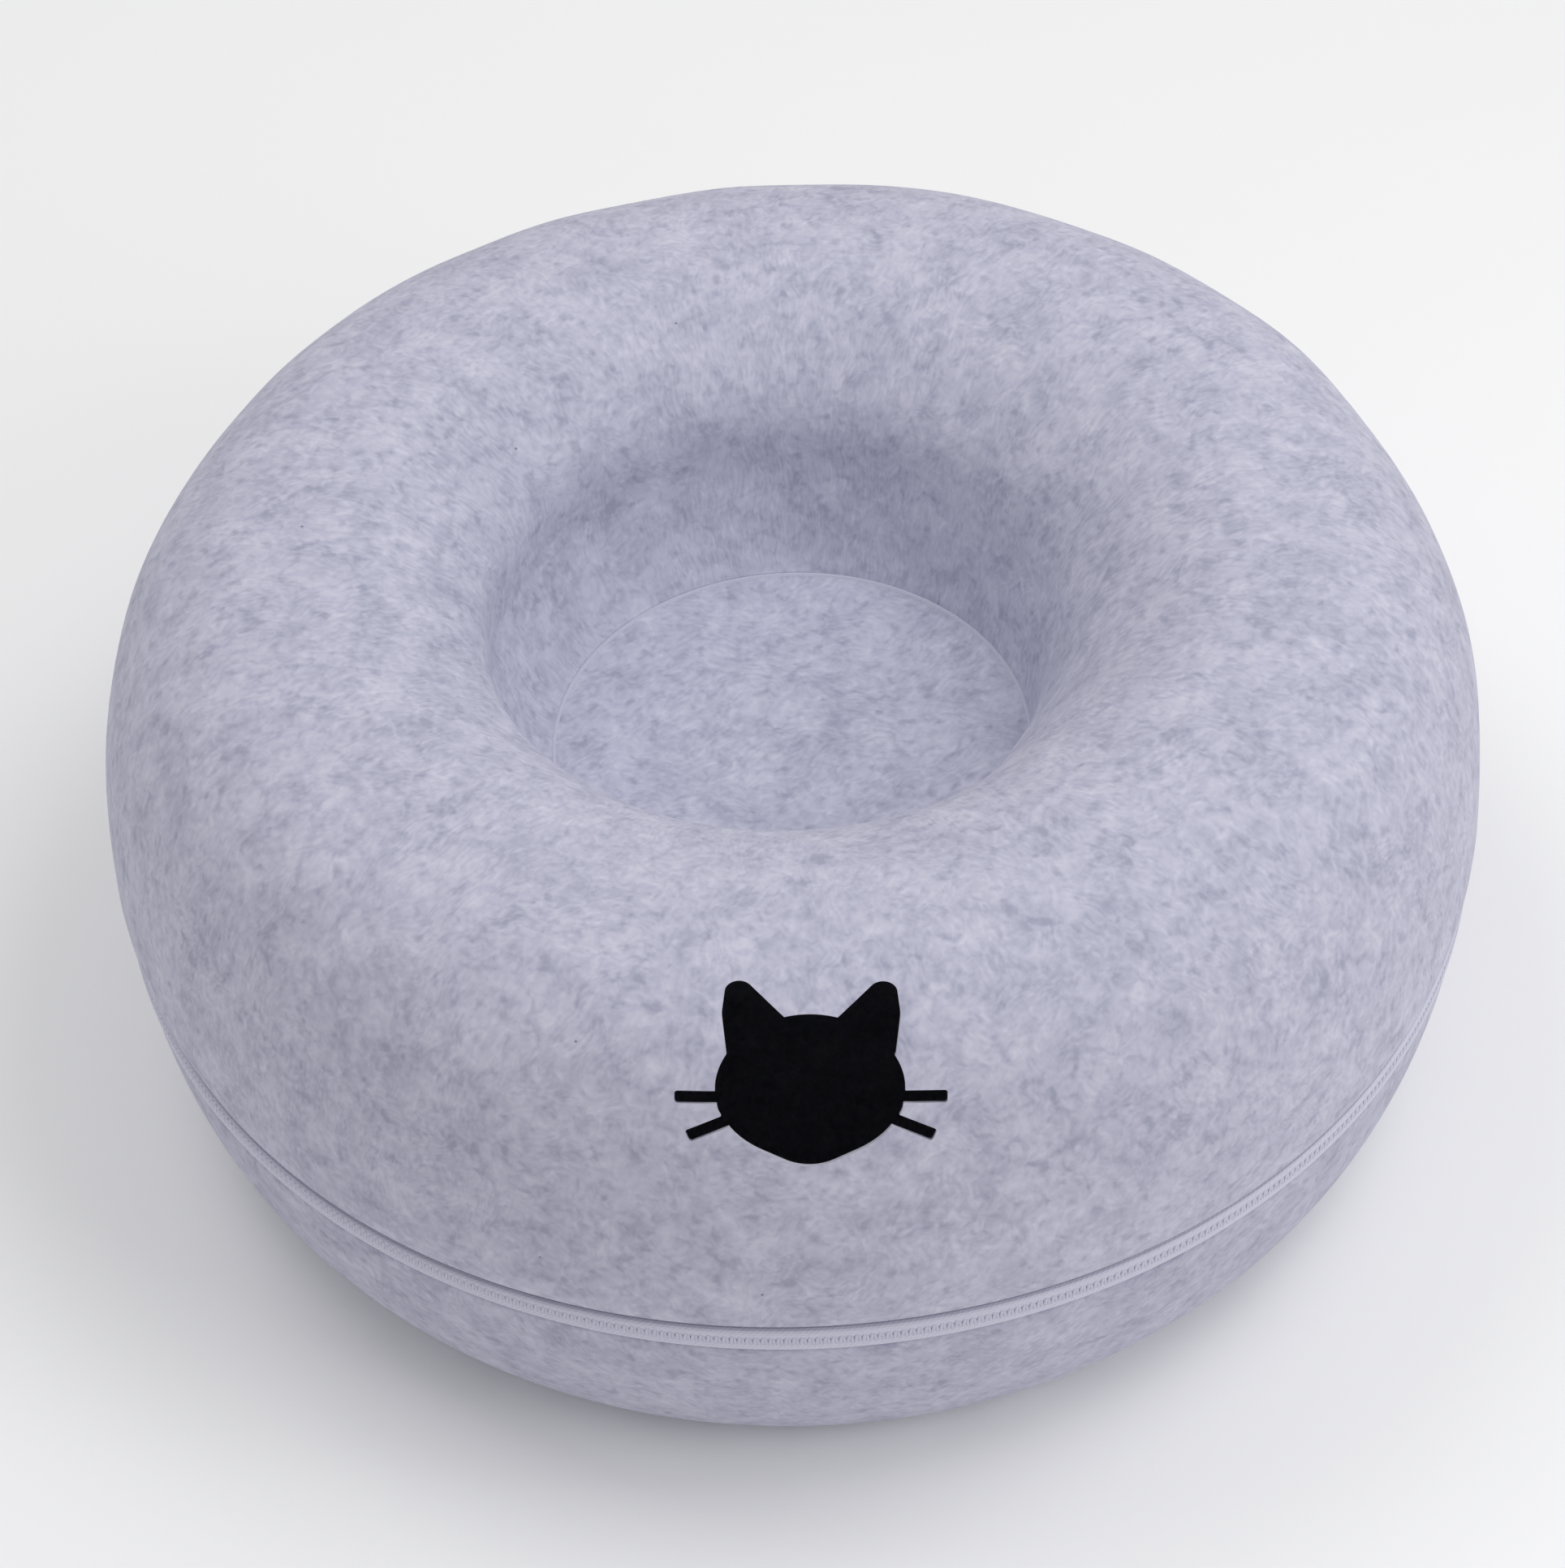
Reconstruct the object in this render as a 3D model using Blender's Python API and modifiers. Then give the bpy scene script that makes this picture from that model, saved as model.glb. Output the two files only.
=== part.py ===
"""Felt cat cave: a moulded felt ring with a sunken nest on top, zipped to a moulded felt bowl.

Run with: blender --background --python part.py
Units are metres, +Z is up, the peephole faces -Y, the way in faces +Y, and the origin is the
centre of the flat base.

Pieces that a maker moulds, cuts and sews:
    upper_shell      moulded felt dome, rolled over its crest and down into the nest's wall
    nest_floor       felt disc sewn into the bottom of the nest
    lower_shell      moulded felt bowl with the flat base
    zip_tape_upper   woven tape sewn inside the upper shell's edge
    zip_tape_lower   woven tape sewn inside the lower shell's edge
    zip_chain        the closed coil that joins the two tapes
"""

import math

import bmesh
import bpy
from mathutils import Matrix, Vector

MM = 0.001

# ---------------------------------------------------------------- driving dimensions
FELT = 4.0 * MM  # thickness of the pressed felt
TAPE = 1.0 * MM  # thickness of the woven zip tape, with its sewing
GAP = 0.3 * MM  # clearance between pieces that touch
STEPS = 48  # facets around every turned piece

DOME_RADIUS = 252.0 * MM  # the upper shell's curve is upright at this radius and height
DOME_FOOT_HEIGHT = 97.0 * MM
CREST_RADIUS = 171.0 * MM  # the highest circle of the ring
CREST_HEIGHT = 226.0 * MM
DOME_SQUARENESS = 2.7  # 2 makes an ellipse, more makes it boxier
UPPER_EDGE_RADIUS = 250.6 * MM  # lower edge of the upper shell, curled in over the zip
UPPER_EDGE_HEIGHT = 104.0 * MM

NEST_RADIUS = 87.5 * MM  # wall of the nest at its foot
NEST_DEPTH = 99.0 * MM  # crest to the top of the nest's floor
NEST_FLOOR_HEIGHT = CREST_HEIGHT - NEST_DEPTH
NEST_FLARE = 7.0 * MM  # the wall stands this far out from its oval, in a hollow curve
NEST_FLARE_RISE = 10.0 * MM  # it gets there over about this height above the floor
NEST_FLARE_FADE = (160.0 * MM, 200.0 * MM)  # and has come back to the oval between these
NEST_FLOOR_DISH = 2.5 * MM  # the floor's middle sags this much
NEST_FLOOR_ROUNDING = 1.5 * MM  # its cut edge is a little worn

BELLY_RADIUS = 250.0 * MM  # the lower shell's curve is upright at this radius and height
BELLY_TOP_HEIGHT = 103.0 * MM
BASE_RADIUS = 203.0 * MM  # edge of the flat base
LOWER_EDGE_RADIUS = 249.3 * MM  # upper edge of the lower shell, under the zip
LOWER_EDGE_HEIGHT = 91.4 * MM

TAPES_MEET = 97.0 * MM  # height at which the two tapes meet behind the coil
TAPE_FACE_RADIUS = 249.5 * MM  # outside of the tapes behind the coil
CHAIN_TOP = 99.8 * MM
CHAIN_HEIGHT = 5.4 * MM
CHAIN_DEPTH = 1.4 * MM

ENTRANCE_RADIUS = 80.0 * MM  # round way in through the back of both shells and the zip
ENTRANCE_HEIGHT = 105.0 * MM

# How far the felt wanders from its mould, and over what distance.
PLAY = 5.0 * MM
PLAY_SIZE = 110.0 * MM
PLAY_FADE = 40.0 * MM

# The peephole, a plain cat's head cut through the front of the dome. It is laid out in mm,
# as (across, up) on the felt's own slope, for the right-hand side of the head.
HEAD_CENTRE = Vector((1.6, -227.0, 207.0)) * MM
HEAD_SLOPE = math.radians(41.7)  # how far the felt's outward normal rises there
HEAD_LEAN = math.radians(2.4)  # the head was cut a little turned
FACE = (
    {"across": -0.3, "up": -5.0, "half_width": 30.3, "half_height": 23.8},  # brow and jaw
    {"across": -0.3, "up": -10.3, "half_width": 29.6, "half_height": 12.0},  # cheeks
    {"across": -0.3, "up": -18.7, "half_width": 15.3, "half_height": 12.0},  # chin
)
EAR = (
    {"across": 22.9, "up": 25.5, "half_width": 4.6, "half_height": 3.3},  # tip
    {"across": 24.6, "up": 18.7, "half_width": 3.8, "half_height": 5.5},  # outer side
    {"across": 25.2, "up": 7.0, "half_width": 1.8, "half_height": 1.8},  # outer root
    {"across": 8.4, "up": 14.8, "half_width": 2.2, "half_height": 2.2},  # inner root
)
WHISKERS = (
    {"from": (24.0, -7.6), "to": (42.5, -7.6)},
    {"from": (22.0, -13.2), "to": (38.6, -20.3)},
)
WHISKER_WIDTH = 4.3
WHISKER_CORNER = 1.0  # radius of the corners at a whisker's blunt end
CUT_REACH = 22.0 * MM  # the cutters reach this far out of and into the felt


# ---------------------------------------------------------------- scene and materials
def clear_scene():
    for obj in list(bpy.data.objects):
        bpy.data.objects.remove(obj, do_unlink=True)


def new_collection(name):
    collection = bpy.data.collections.new(name)
    bpy.context.scene.collection.children.link(collection)
    return collection


def plain_material(name, colour, roughness):
    material = bpy.data.materials.new(name)
    material.use_nodes = True
    shader = material.node_tree.nodes["Principled BSDF"]
    shader.inputs["Base Color"].default_value = (*colour, 1.0)
    shader.inputs["Roughness"].default_value = roughness
    shader.inputs["Metallic"].default_value = 0.0
    return material


# ---------------------------------------------------------------- sections, as (radius, height)
def quarter_arc(centre, half_width, half_height, squareness, count, start=0.0):
    """Superellipse arc from beside its centre to above it, or below it for a negative height.

    start is the share of the quarter turn that is left out at the side.
    """
    arc = []
    for i in range(count + 1):
        angle = 0.5 * math.pi * (start + (1.0 - start) * i / count)
        across = max(math.cos(angle), 0.0) ** (2.0 / squareness)
        along = math.sin(angle) ** (2.0 / squareness)
        arc.append((centre[0] + half_width * across, centre[1] + half_height * along))
    return arc


def nest_flare(height):
    """How far the nest's wall stands out from its oval at that height."""
    risen = 1.0 - math.exp((NEST_FLOOR_HEIGHT - height) / NEST_FLARE_RISE)
    low, high = NEST_FLARE_FADE
    share = min(max((height - low) / (high - low), 0.0), 1.0)
    return NEST_FLARE * risen * (1.0 - share * share * (3.0 - 2.0 * share))


def upper_section():
    """Outer face of the dome: up the nest's wall, over the crest, down to the zip's edge."""
    oval = quarter_arc(
        centre=(CREST_RADIUS, NEST_FLOOR_HEIGHT),
        half_width=NEST_RADIUS - CREST_RADIUS,
        half_height=NEST_DEPTH,
        squareness=2.0,
        count=12,
    )
    wall = [(radius + nest_flare(height), height) for radius, height in oval]
    dome = quarter_arc(
        centre=(CREST_RADIUS, DOME_FOOT_HEIGHT),
        half_width=DOME_RADIUS - CREST_RADIUS,
        half_height=CREST_HEIGHT - DOME_FOOT_HEIGHT,
        squareness=DOME_SQUARENESS,
        count=10,
        start=0.05,
    )
    foot = (NEST_RADIUS, NEST_FLOOR_HEIGHT - 1.5 * FELT)
    edge = (UPPER_EDGE_RADIUS, UPPER_EDGE_HEIGHT)
    return [foot] + wall + dome[-2::-1] + [edge]


def lower_section():
    """Outer face of the bowl, from its edge under the zip down to the middle of the base."""
    belly = quarter_arc(
        centre=(BASE_RADIUS, BELLY_TOP_HEIGHT),
        half_width=BELLY_RADIUS - BASE_RADIUS,
        half_height=-BELLY_TOP_HEIGHT,
        squareness=2.0,
        count=7,
        start=0.09,
    )
    edge = (LOWER_EDGE_RADIUS, LOWER_EDGE_HEIGHT)
    return [edge] + belly + [(0.5 * BASE_RADIUS, 0.0), (0.0, 0.0)]


def nest_floor_section():
    """Round felt disc that fills the foot of the nest, level at its rim and sagging inside."""
    rim = NEST_RADIUS - GAP - 0.2 * MM
    top = NEST_FLOOR_HEIGHT
    face = []
    for share in (0.0, 0.5, 0.8):
        face.append((rim * share, top - NEST_FLOOR_DISH * (1.0 - share**2)))
    face.append((rim - NEST_FLOOR_ROUNDING, top))
    under = [(radius, height - FELT) for radius, height in face[-2::-1]]
    edge = [(rim, top - NEST_FLOOR_ROUNDING), (rim, top - FELT)]
    return face + edge + under


def tape_section(line):
    """Closed section of a tape from its outer line, which runs top to bottom."""
    behind = [(radius - TAPE, height) for radius, height in line]
    return line + behind[::-1]


def upper_tape_section():
    """From inside the upper shell's edge, out under it and down behind the coil."""
    inside = UPPER_EDGE_RADIUS - FELT - GAP
    return tape_section(
        [
            (inside + 1.0 * MM, UPPER_EDGE_HEIGHT + 9.0 * MM),
            (inside, UPPER_EDGE_HEIGHT + 0.5 * MM),
            (inside + 0.8 * MM, UPPER_EDGE_HEIGHT - 1.0 * MM),
            (TAPE_FACE_RADIUS, CHAIN_TOP + 0.4 * MM),
            (TAPE_FACE_RADIUS, TAPES_MEET + GAP),
        ]
    )


def lower_tape_section():
    """From behind the coil, in over the lower shell's edge and down inside it."""
    inside = LOWER_EDGE_RADIUS - FELT - 2.0 * GAP
    chain_bottom = CHAIN_TOP - CHAIN_HEIGHT
    return tape_section(
        [
            (TAPE_FACE_RADIUS, TAPES_MEET - GAP),
            (TAPE_FACE_RADIUS, chain_bottom + 0.6 * MM),
            (inside, LOWER_EDGE_HEIGHT + 0.2 * MM),
            (inside, LOWER_EDGE_HEIGHT - 8.0 * MM),
        ]
    )


def chain_section():
    """Closed coil, flat against the tapes and bevelled outside."""
    back = TAPE_FACE_RADIUS + GAP
    front = back + CHAIN_DEPTH
    bottom = CHAIN_TOP - CHAIN_HEIGHT
    bevel = 1.0 * MM
    return [
        (back, CHAIN_TOP),
        (front, CHAIN_TOP - bevel),
        (front, bottom + bevel),
        (back, bottom),
    ]


# ---------------------------------------------------------------- turned pieces
def turned(name, section, collection, closed=False):
    """Object whose section at +X is turned about Z by a Screw modifier."""
    points = [(radius, 0.0, height) for radius, height in section]
    edges = [(i, i + 1) for i in range(len(points) - 1)]
    if closed:
        edges.append((len(points) - 1, 0))
    mesh = bpy.data.meshes.new(name)
    mesh.from_pydata(points, edges, [])
    obj = bpy.data.objects.new(name, mesh)
    collection.objects.link(obj)
    screw = obj.modifiers.new("turn", "SCREW")
    screw.steps = STEPS
    screw.render_steps = STEPS
    screw.use_merge_vertices = True
    screw.merge_threshold = 0.0001
    screw.use_smooth_shade = True
    return obj


def let_felt_wander(obj, texture):
    """Lets the dome wander off its mould, but not at the zip or at the nest's floor."""
    group = obj.vertex_groups.new(name="free felt")
    for vertex in obj.data.vertices:
        above_zip = vertex.co.z - UPPER_EDGE_HEIGHT - 2.0 * FELT
        off_floor = vertex.co.x - NEST_RADIUS
        weight = min(above_zip, off_floor) / PLAY_FADE
        group.add([vertex.index], min(max(weight, 0.0), 1.0), "REPLACE")
    wander = obj.modifiers.new("wander", "DISPLACE")
    wander.texture = texture
    wander.texture_coords = "LOCAL"
    wander.vertex_group = group.name
    wander.strength = PLAY
    wander.mid_level = 0.5


def thicken(obj):
    """Gives the felt its thickness, inwards from the moulded outer face."""
    shell = obj.modifiers.new("felt", "SOLIDIFY")
    shell.thickness = FELT
    shell.offset = -1.0
    shell.use_even_offset = True
    shell.use_quality_normals = True


def cut(obj, cutter):
    difference = obj.modifiers.new("cut " + cutter.name, "BOOLEAN")
    difference.operation = "DIFFERENCE"
    difference.solver = "EXACT"
    difference.object = cutter


# ---------------------------------------------------------------- cutters
def cutter_from(work, name, collection):
    mesh = bpy.data.meshes.new(name)
    work.to_mesh(mesh)
    work.free()
    cutter = bpy.data.objects.new(name, mesh)
    collection.objects.link(cutter)
    cutter.hide_render = True
    cutter.display_type = "WIRE"
    return cutter


def prism_cutter(name, ovals, sides, collection, mirror=1.0):
    """Upright prism around the outermost points of some ovals."""
    work = bmesh.new()
    for oval in ovals:
        for side in range(sides):
            angle = 2.0 * math.pi * side / sides
            x = mirror * (oval["across"] + oval["half_width"] * math.cos(angle)) * MM
            y = (oval["up"] + oval["half_height"] * math.sin(angle)) * MM
            work.verts.new((x, y, -CUT_REACH))
            work.verts.new((x, y, CUT_REACH))
    hull = bmesh.ops.convex_hull(work, input=work.verts)
    inside = [item for item in hull["geom_interior"] if isinstance(item, bmesh.types.BMVert)]
    bmesh.ops.delete(work, geom=inside, context="VERTS")
    bmesh.ops.dissolve_limit(work, angle_limit=math.radians(0.5), verts=work.verts, edges=work.edges)
    return cutter_from(work, name, collection)


def slot_corners(start, end):
    """The four round corners of a straight slot with blunt ends."""
    start, end = Vector(start), Vector(end)
    aside = (end - start).orthogonal().normalized() * (0.5 * WHISKER_WIDTH - WHISKER_CORNER)
    centres = [point + sign * aside for point in (start, end) for sign in (-1.0, 1.0)]
    round_corner = {"half_width": WHISKER_CORNER, "half_height": WHISKER_CORNER}
    return [{"across": centre.x, "up": centre.y, **round_corner} for centre in centres]


def peephole_cutters(collection):
    """A face, two ears and four whisker slots, set square to the felt at the head's place."""
    cutters = [prism_cutter("peephole_face", FACE, 32, collection)]
    for side, mirror in (("right", 1.0), ("left", -1.0)):
        cutters.append(prism_cutter("peephole_ear_" + side, EAR, 12, collection, mirror))
        for number, whisker in enumerate(WHISKERS):
            corners = slot_corners(whisker["from"], whisker["to"])
            name = f"peephole_whisker_{side}_{number}"
            cutters.append(prism_cutter(name, corners, 6, collection, mirror))
    tip_up = Matrix.Rotation(0.5 * math.pi - HEAD_SLOPE, 4, "X")
    lean = Matrix.Rotation(-HEAD_LEAN, 4, "Z")
    for cutter in cutters:
        cutter.matrix_world = Matrix.Translation(HEAD_CENTRE) @ tip_up @ lean
    return cutters


def entrance_cutter(collection):
    """Drum along Y whose inner end stops short of the nest's wall."""
    depth = 0.5 * DOME_RADIUS
    work = bmesh.new()
    bmesh.ops.create_cone(
        work,
        cap_ends=True,
        segments=40,
        radius1=ENTRANCE_RADIUS,
        radius2=ENTRANCE_RADIUS,
        depth=depth,
    )
    drum = cutter_from(work, "entrance_drum", collection)
    middle = Vector((0.0, DOME_RADIUS, ENTRANCE_HEIGHT))
    drum.matrix_world = Matrix.Translation(middle) @ Matrix.Rotation(0.5 * math.pi, 4, "X")
    return drum


# ---------------------------------------------------------------- the cat cave
def make_upper_shell(parts, felt, cutters):
    texture = bpy.data.textures.new("felt wander", "CLOUDS")
    texture.noise_scale = PLAY_SIZE
    texture.noise_depth = 1
    shell = turned("upper_shell", upper_section(), parts)
    let_felt_wander(shell, texture)
    thicken(shell)
    for cutter in cutters:
        cut(shell, cutter)
    shell.data.materials.append(felt)


def make_nest_floor(parts, felt):
    disc = turned("nest_floor", nest_floor_section(), parts)
    disc.data.materials.append(felt)


def make_lower_shell(parts, felt, drum):
    bowl = turned("lower_shell", lower_section(), parts)
    thicken(bowl)
    cut(bowl, drum)
    bowl.data.materials.append(felt)


def make_zip(parts, woven, nylon, drum):
    rings = (
        ("zip_tape_upper", upper_tape_section(), woven),
        ("zip_tape_lower", lower_tape_section(), woven),
        ("zip_chain", chain_section(), nylon),
    )
    for name, section, material in rings:
        ring = turned(name, section, parts, closed=True)
        cut(ring, drum)
        ring.data.materials.append(material)


def main():
    clear_scene()
    parts = new_collection("felt_cat_cave")
    cutting = new_collection("cutters")
    felt = plain_material("pressed felt", (0.42, 0.42, 0.52), 0.95)
    woven = plain_material("woven zip tape", (0.46, 0.46, 0.56), 0.8)
    nylon = plain_material("nylon coil", (0.44, 0.44, 0.54), 0.45)
    drum = entrance_cutter(cutting)
    make_upper_shell(parts, felt, [drum] + peephole_cutters(cutting))
    make_nest_floor(parts, felt)
    make_lower_shell(parts, felt, drum)
    make_zip(parts, woven, nylon, drum)


main()
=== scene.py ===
# %% [markdown]
# # A felt cat cave
# A round pet bed of moulded needle felt. The upper shell is a ring whose middle is sunk into a
# nest, the lower shell is a bowl, and a zip joins them all round. A cat's head is cut through
# the front and a round way in through the back.
#
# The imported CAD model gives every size. This file loads it as a fixed frame, and then builds
# each piece again, finer, in the same place: felt with its fibres, a woven tape, a coil.

# %% The frame
import math

import bmesh
import bpy
import numpy as np
from mathutils import Matrix, Vector
from mathutils.geometry import convex_hull_2d


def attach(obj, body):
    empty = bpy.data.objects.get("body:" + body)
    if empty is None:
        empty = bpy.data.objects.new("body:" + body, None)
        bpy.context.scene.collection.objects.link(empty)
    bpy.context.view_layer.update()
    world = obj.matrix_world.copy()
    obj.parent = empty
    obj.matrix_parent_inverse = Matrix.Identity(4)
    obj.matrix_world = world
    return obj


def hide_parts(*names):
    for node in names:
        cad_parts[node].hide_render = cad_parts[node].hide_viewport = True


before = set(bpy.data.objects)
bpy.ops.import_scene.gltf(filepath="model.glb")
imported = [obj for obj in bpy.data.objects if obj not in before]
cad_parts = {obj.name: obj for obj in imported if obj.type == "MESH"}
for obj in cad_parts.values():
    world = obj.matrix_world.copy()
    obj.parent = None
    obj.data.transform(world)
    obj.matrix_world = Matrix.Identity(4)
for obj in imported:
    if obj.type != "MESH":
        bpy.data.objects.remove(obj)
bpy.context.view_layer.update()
MM = 0.001

# %% [markdown]
# ## The camera
# The photograph was taken from the front and about 49 degrees above, from 1.6 m away with a
# long lens. The camera comes first, so that every render from here on can be laid beside the
# photograph. The three small turns aim it as the photographer did, a touch high and tilted.

# %% Camera
IMAGE_HEIGHT = 1932  # pixels, the photograph's longer side
FOCAL_PIXELS = 5000.0
SENSOR = 36.0
CAMERA_RISE = math.radians(48.896)
CAMERA_DISTANCE = 1.59293
AIM_YAW, AIM_PITCH, AIM_ROLL = 0.00283, 0.04469, 0.04159


def camera_matrix():
    """The camera's place and turn, from its rise above the floor and its three aiming turns."""
    ahead = Vector((0.0, math.cos(CAMERA_RISE), -math.sin(CAMERA_RISE)))
    across = Vector((1.0, 0.0, 0.0))
    rows = Matrix((across, across.cross(ahead), ahead))
    yaw = Matrix.Rotation(AIM_YAW, 3, "Y")
    pitch = Matrix.Rotation(AIM_PITCH, 3, "X")
    roll = Matrix.Rotation(AIM_ROLL, 3, "Z")
    rows = roll @ pitch @ yaw @ rows
    turn = Matrix((rows[0], rows[1], -rows[2])).transposed()
    return Matrix.Translation(ahead * -CAMERA_DISTANCE) @ turn.to_4x4()


camera = bpy.data.objects.new("camera", bpy.data.cameras.new("camera"))
camera.data.sensor_width = SENSOR
camera.data.sensor_fit = "AUTO"
camera.data.lens = FOCAL_PIXELS * SENSOR / IMAGE_HEIGHT
camera.matrix_world = camera_matrix()
bpy.context.scene.collection.objects.link(camera)
bpy.context.scene.camera = camera
print("lens in mm:", round(camera.data.lens, 2))

# %% [markdown]
# ## Sections of the felt
# Each shell was pressed over a round mould, so its form is one line turned about the upright
# axis. A quarter of a superellipse, an ellipse whose corners can be filled out, follows such
# soft mould lines with four numbers. The CAD uses the same numbers with fewer points. Here the
# line is laid out again with a point every few millimetres, so that it can carry soft creases.

# %% Sizes and section lines
FELT = 4.0 * MM
CREST_RADIUS, CREST_HEIGHT = 171.0 * MM, 226.0 * MM
DOME_RADIUS, DOME_FOOT_HEIGHT, DOME_SQUARENESS = 252.0 * MM, 97.0 * MM, 2.7
UPPER_EDGE = (250.6 * MM, 104.0 * MM)
NEST_RADIUS, NEST_FLOOR_HEIGHT = 87.5 * MM, 127.0 * MM
BELLY_RADIUS, BELLY_TOP_HEIGHT, BASE_RADIUS = 250.0 * MM, 103.0 * MM, 203.0 * MM
LOWER_EDGE = (249.3 * MM, 91.4 * MM)
WALL_FOOT = 1.5 * FELT  # how far the nest's wall reaches down past its floor
UPPER_SPACING, LOWER_SPACING = 3.5 * MM, 4.0 * MM  # between the points of a section
DOME_START, BELLY_START = 0.05, 0.09  # shares of their quarters that are left to the zip


def quarter_arc(centre, half_width, half_height, squareness, start=0.0, count=80):
    """Superellipse arc from beside its centre to above it, or below it for a negative height."""
    arc = []
    for i in range(count + 1):
        angle = 0.5 * math.pi * (start + (1.0 - start) * i / count)
        across = max(math.cos(angle), 0.0) ** (2.0 / squareness)
        along = math.sin(angle) ** (2.0 / squareness)
        arc.append((centre[0] + half_width * across, centre[1] + half_height * along))
    return arc


def evenly(line, spacing):
    """The same line with its points an even distance apart."""
    points = np.array(line)
    run = np.concatenate([[0.0], np.cumsum(np.linalg.norm(np.diff(points, axis=0), axis=1))])
    stops = np.linspace(0.0, run[-1], max(2, round(run[-1] / spacing)) + 1)
    return np.stack([np.interp(stops, run, points[:, i]) for i in range(2)], axis=1)


wall = quarter_arc(
    (CREST_RADIUS, NEST_FLOOR_HEIGHT),
    NEST_RADIUS - CREST_RADIUS,
    CREST_HEIGHT - NEST_FLOOR_HEIGHT,
    2.0,
)
dome = quarter_arc(
    (CREST_RADIUS, DOME_FOOT_HEIGHT),
    DOME_RADIUS - CREST_RADIUS,
    CREST_HEIGHT - DOME_FOOT_HEIGHT,
    DOME_SQUARENESS,
    start=DOME_START,
)
belly = quarter_arc(
    (BASE_RADIUS, BELLY_TOP_HEIGHT),
    BELLY_RADIUS - BASE_RADIUS,
    -BELLY_TOP_HEIGHT,
    2.0,
    start=BELLY_START,
)
nest_foot = [(NEST_RADIUS, NEST_FLOOR_HEIGHT - WALL_FOOT)]
upper_line = evenly(nest_foot + wall + dome[-2::-1] + [UPPER_EDGE], UPPER_SPACING)
lower_line = evenly([LOWER_EDGE] + belly + [(0.0, 0.0)], LOWER_SPACING)
print("points down the upper and lower sections:", len(upper_line), len(lower_line))

# %% [markdown]
# ## Turning a section
# The skin is made straight from rows of points round the axis, with a UV map that holds two
# real measures: how far round the point is, in turns, and how far it is down the section, in
# metres. The felt's fibres are drawn from these, so they run with the cloth and not through it.


# %% A turned skin
SAME_POINT = 0.01 * MM  # points nearer than this become one


def weld(mesh, closed=False):
    """Joins the points that meet on the axis, and turns a closed mesh's faces outwards."""
    work = bmesh.new()
    work.from_mesh(mesh)
    bmesh.ops.remove_doubles(work, verts=work.verts, dist=SAME_POINT)
    if closed:
        bmesh.ops.recalc_face_normals(work, faces=work.faces)
    work.to_mesh(mesh)
    work.free()


def turned_skin(name, line, steps):
    """Open skin of a section, which runs from top to bottom on its outer side."""
    line = np.array(line)
    run = np.concatenate([[0.0], np.cumsum(np.linalg.norm(np.diff(line, axis=0), axis=1))])
    angle = 2.0 * math.pi * np.arange(steps) / steps
    ring = np.stack([np.cos(angle), np.sin(angle)], axis=1)
    points = np.zeros((len(line), steps, 3))
    points[:, :, :2] = line[:, None, :1] * ring
    points[:, :, 2] = line[:, 1:]
    faces, measures = [], []
    for row in range(len(line) - 1):
        for step in range(steps):
            after = (step + 1) % steps
            above, below = row * steps, (row + 1) * steps
            faces.append((above + step, below + step, below + after, above + after))
            turns = (step / steps, (step + 1) / steps)
            measures += [
                (turns[0], run[row]),
                (turns[0], run[row + 1]),
                (turns[1], run[row + 1]),
                (turns[1], run[row]),
            ]
    mesh = bpy.data.meshes.new(name)
    mesh.from_pydata(points.reshape(-1, 3).tolist(), [], faces)
    layer = mesh.uv_layers.new(name="run")
    layer.data.foreach_set("uv", np.array(measures, np.float32).ravel())
    obj = bpy.data.objects.new(name, mesh)
    bpy.context.scene.collection.objects.link(obj)
    if line[-1][0] < SAME_POINT:
        weld(mesh)
    return obj


def settle(obj):
    """Applies the modifiers, so that the next tool works on the shape that they made."""
    evaluated = obj.evaluated_get(bpy.context.evaluated_depsgraph_get())
    old, obj.data = obj.data, bpy.data.meshes.new_from_object(evaluated)
    obj.modifiers.clear()
    obj.data.name = obj.name
    bpy.data.meshes.remove(old)
    return obj


STEPS = 450  # points round the axis
upper_shell = turned_skin("upper_felt", upper_line, STEPS)
lower_shell = turned_skin("lower_felt", lower_line, STEPS)
print("faces of the skins:", len(upper_shell.data.polygons), len(lower_shell.data.polygons))

# %% [markdown]
# ## Felt that has left its mould
# Felt springs back a little when it comes off the mould, and it is handled and packed, so the
# dome isn't a true ring. The same wide cloud texture as in the CAD moves it by a few
# millimetres. It fades out towards the zip and the nest's floor, where sewing holds the felt.

# %% Wander
PLAY, PLAY_SIZE, PLAY_FADE = 5.0 * MM, 110.0 * MM, 40.0 * MM
HELD_BY_ZIP = 2.0 * FELT  # the sewing keeps this much of the felt above the edge still


def let_felt_wander(obj):
    """Moves the free felt in and out along its normals by a wide cloud texture."""
    clouds = bpy.data.textures.new("felt wander", "CLOUDS")
    clouds.noise_scale = PLAY_SIZE
    clouds.noise_depth = 1
    group = obj.vertex_groups.new(name="free felt")
    for vertex in obj.data.vertices:
        above_zip = vertex.co.z - UPPER_EDGE[1] - HELD_BY_ZIP
        off_floor = math.hypot(vertex.co.x, vertex.co.y) - NEST_RADIUS
        weight = min(above_zip, off_floor) / PLAY_FADE
        group.add([vertex.index], min(max(weight, 0.0), 1.0), "REPLACE")
    wander = obj.modifiers.new("wander", "DISPLACE")
    wander.texture = clouds
    wander.texture_coords = "LOCAL"
    wander.vertex_group = group.name
    wander.strength = PLAY
    wander.mid_level = 0.5
    settle(obj)


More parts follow.
